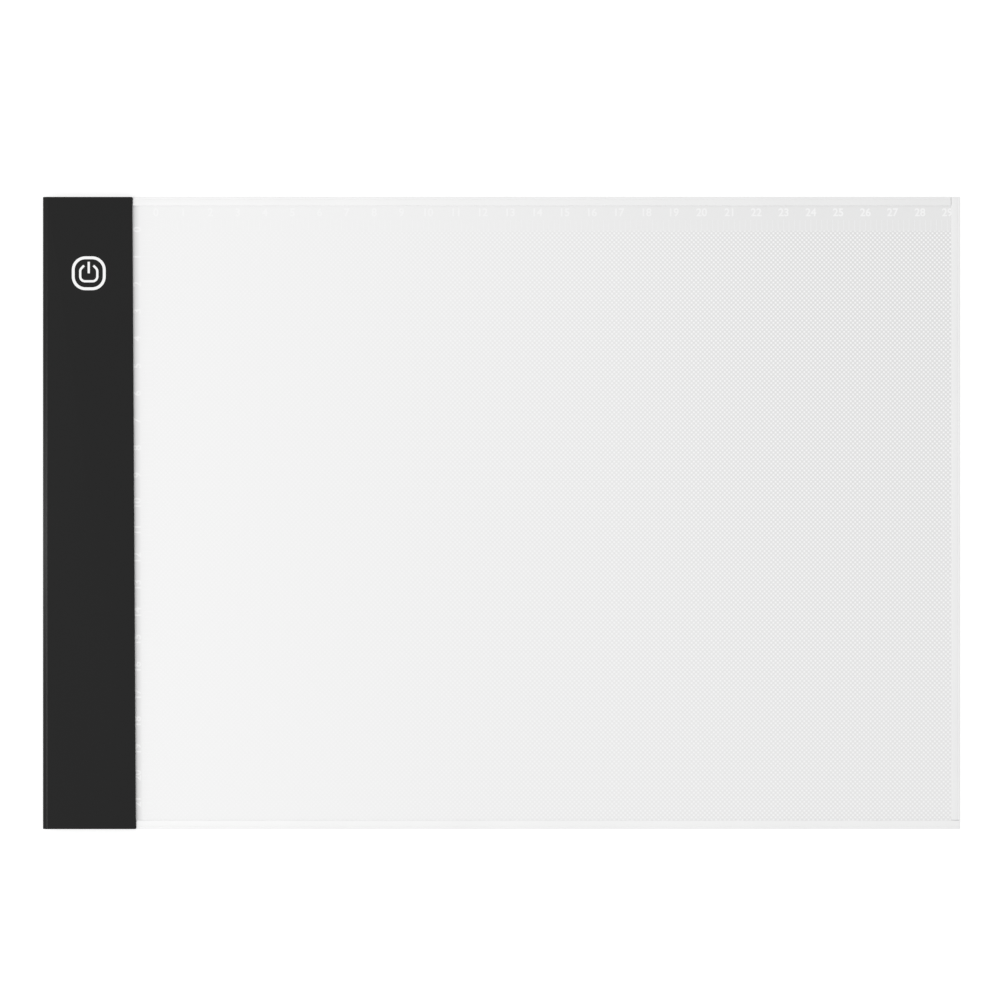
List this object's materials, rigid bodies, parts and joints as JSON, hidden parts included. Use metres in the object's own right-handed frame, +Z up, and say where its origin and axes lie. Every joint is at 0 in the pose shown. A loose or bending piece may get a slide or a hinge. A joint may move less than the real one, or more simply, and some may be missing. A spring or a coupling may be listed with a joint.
{
  "type": "led tracing pad",
  "caption": "Thin flat LED light pad for tracing, with a printed centimetre ruler, narrow white edge rails and a black control strip with a touch power key.",
  "frame": {"origin": "on the desk, under the middle of the pad", "axes": "+X runs along the long side away from the black control strip, +Y to the far edge with the ruler and the power socket, +Z up out of the drawing face"},
  "size_m": [0.336, 0.2316, 0.0064],
  "materials": {
    "cover_black": "satin to gloss black moulding",
    "rail_white": "white moulding, lightly polished",
    "face_acrylic": "opal white acrylic sheet, satin gloss, printed with a white centimetre ruler",
    "diffuser_film": "matt white translucent film",
    "guide_acrylic": "clear acrylic plate with a matrix of fine dots",
    "reflecting_tape": "white reflecting tape",
    "reflector_film": "matt white film",
    "back_white": "fine-grained white board",
    "foot_rubber": "matt grey rubber",
    "adhesive_tape": "double-sided tape",
    "frame_plastic": "matt black moulding",
    "led_board_white": "white solder mask",
    "led_package": "white package with yellow phosphor",
    "lead_red": "red insulation",
    "lead_black": "black insulation",
    "board_green": "green solder mask",
    "key_copper": "bare copper",
    "key_foam": "conductive foam",
    "chip_black": "matt black epoxy",
    "inductor_ferrite": "dark grey ferrite",
    "capacitor_ceramic": "tan ceramic",
    "socket_steel": "tinned steel",
    "tongue_plastic": "black moulding",
    "contact_gold": "gold plating",
    "print_white": "white screen print"
  },
  "bodies": {
    "root": {"control_cover": "cover_black", "cover_tape": "adhesive_tape", "top_rail": "rail_white", "right_rail": "rail_white", "bottom_rail": "rail_white", "top_sheet": "face_acrylic", "diffuser_sheet": "diffuser_film", "light_guide": "guide_acrylic", "edge_tape_top": "reflecting_tape", "edge_tape_right": "reflecting_tape", "edge_tape_bottom": "reflecting_tape", "reflector_sheet": "reflector_film", "back_plate": "back_white", "foot_1": "foot_rubber", "foot_2": "foot_rubber", "foot_3": "foot_rubber", "foot_4": "foot_rubber", "bay_frame": "frame_plastic", "led_board": "led_board_white", "led_row": "led_package", "led_tape_far": "adhesive_tape", "led_tape_near": "adhesive_tape", "led_lead_red": "lead_red", "led_lead_black": "lead_black", "controller_board": "board_green", "board_tape": "adhesive_tape", "touch_electrode": "key_copper", "touch_foam": "key_foam", "touch_chip": "chip_black", "driver_chip": "chip_black", "rectifier_diode": "chip_black", "sense_resistor_1": "chip_black", "sense_resistor_2": "chip_black", "power_inductor": "inductor_ferrite", "input_capacitor": "capacitor_ceramic", "output_capacitor": "capacitor_ceramic", "usb_shell": "socket_steel", "usb_tongue": "tongue_plastic", "usb_contact_1": "contact_gold", "usb_contact_2": "contact_gold", "usb_contact_3": "contact_gold", "usb_contact_4": "contact_gold", "usb_contact_5": "contact_gold"}
  },
  "joints": []
}
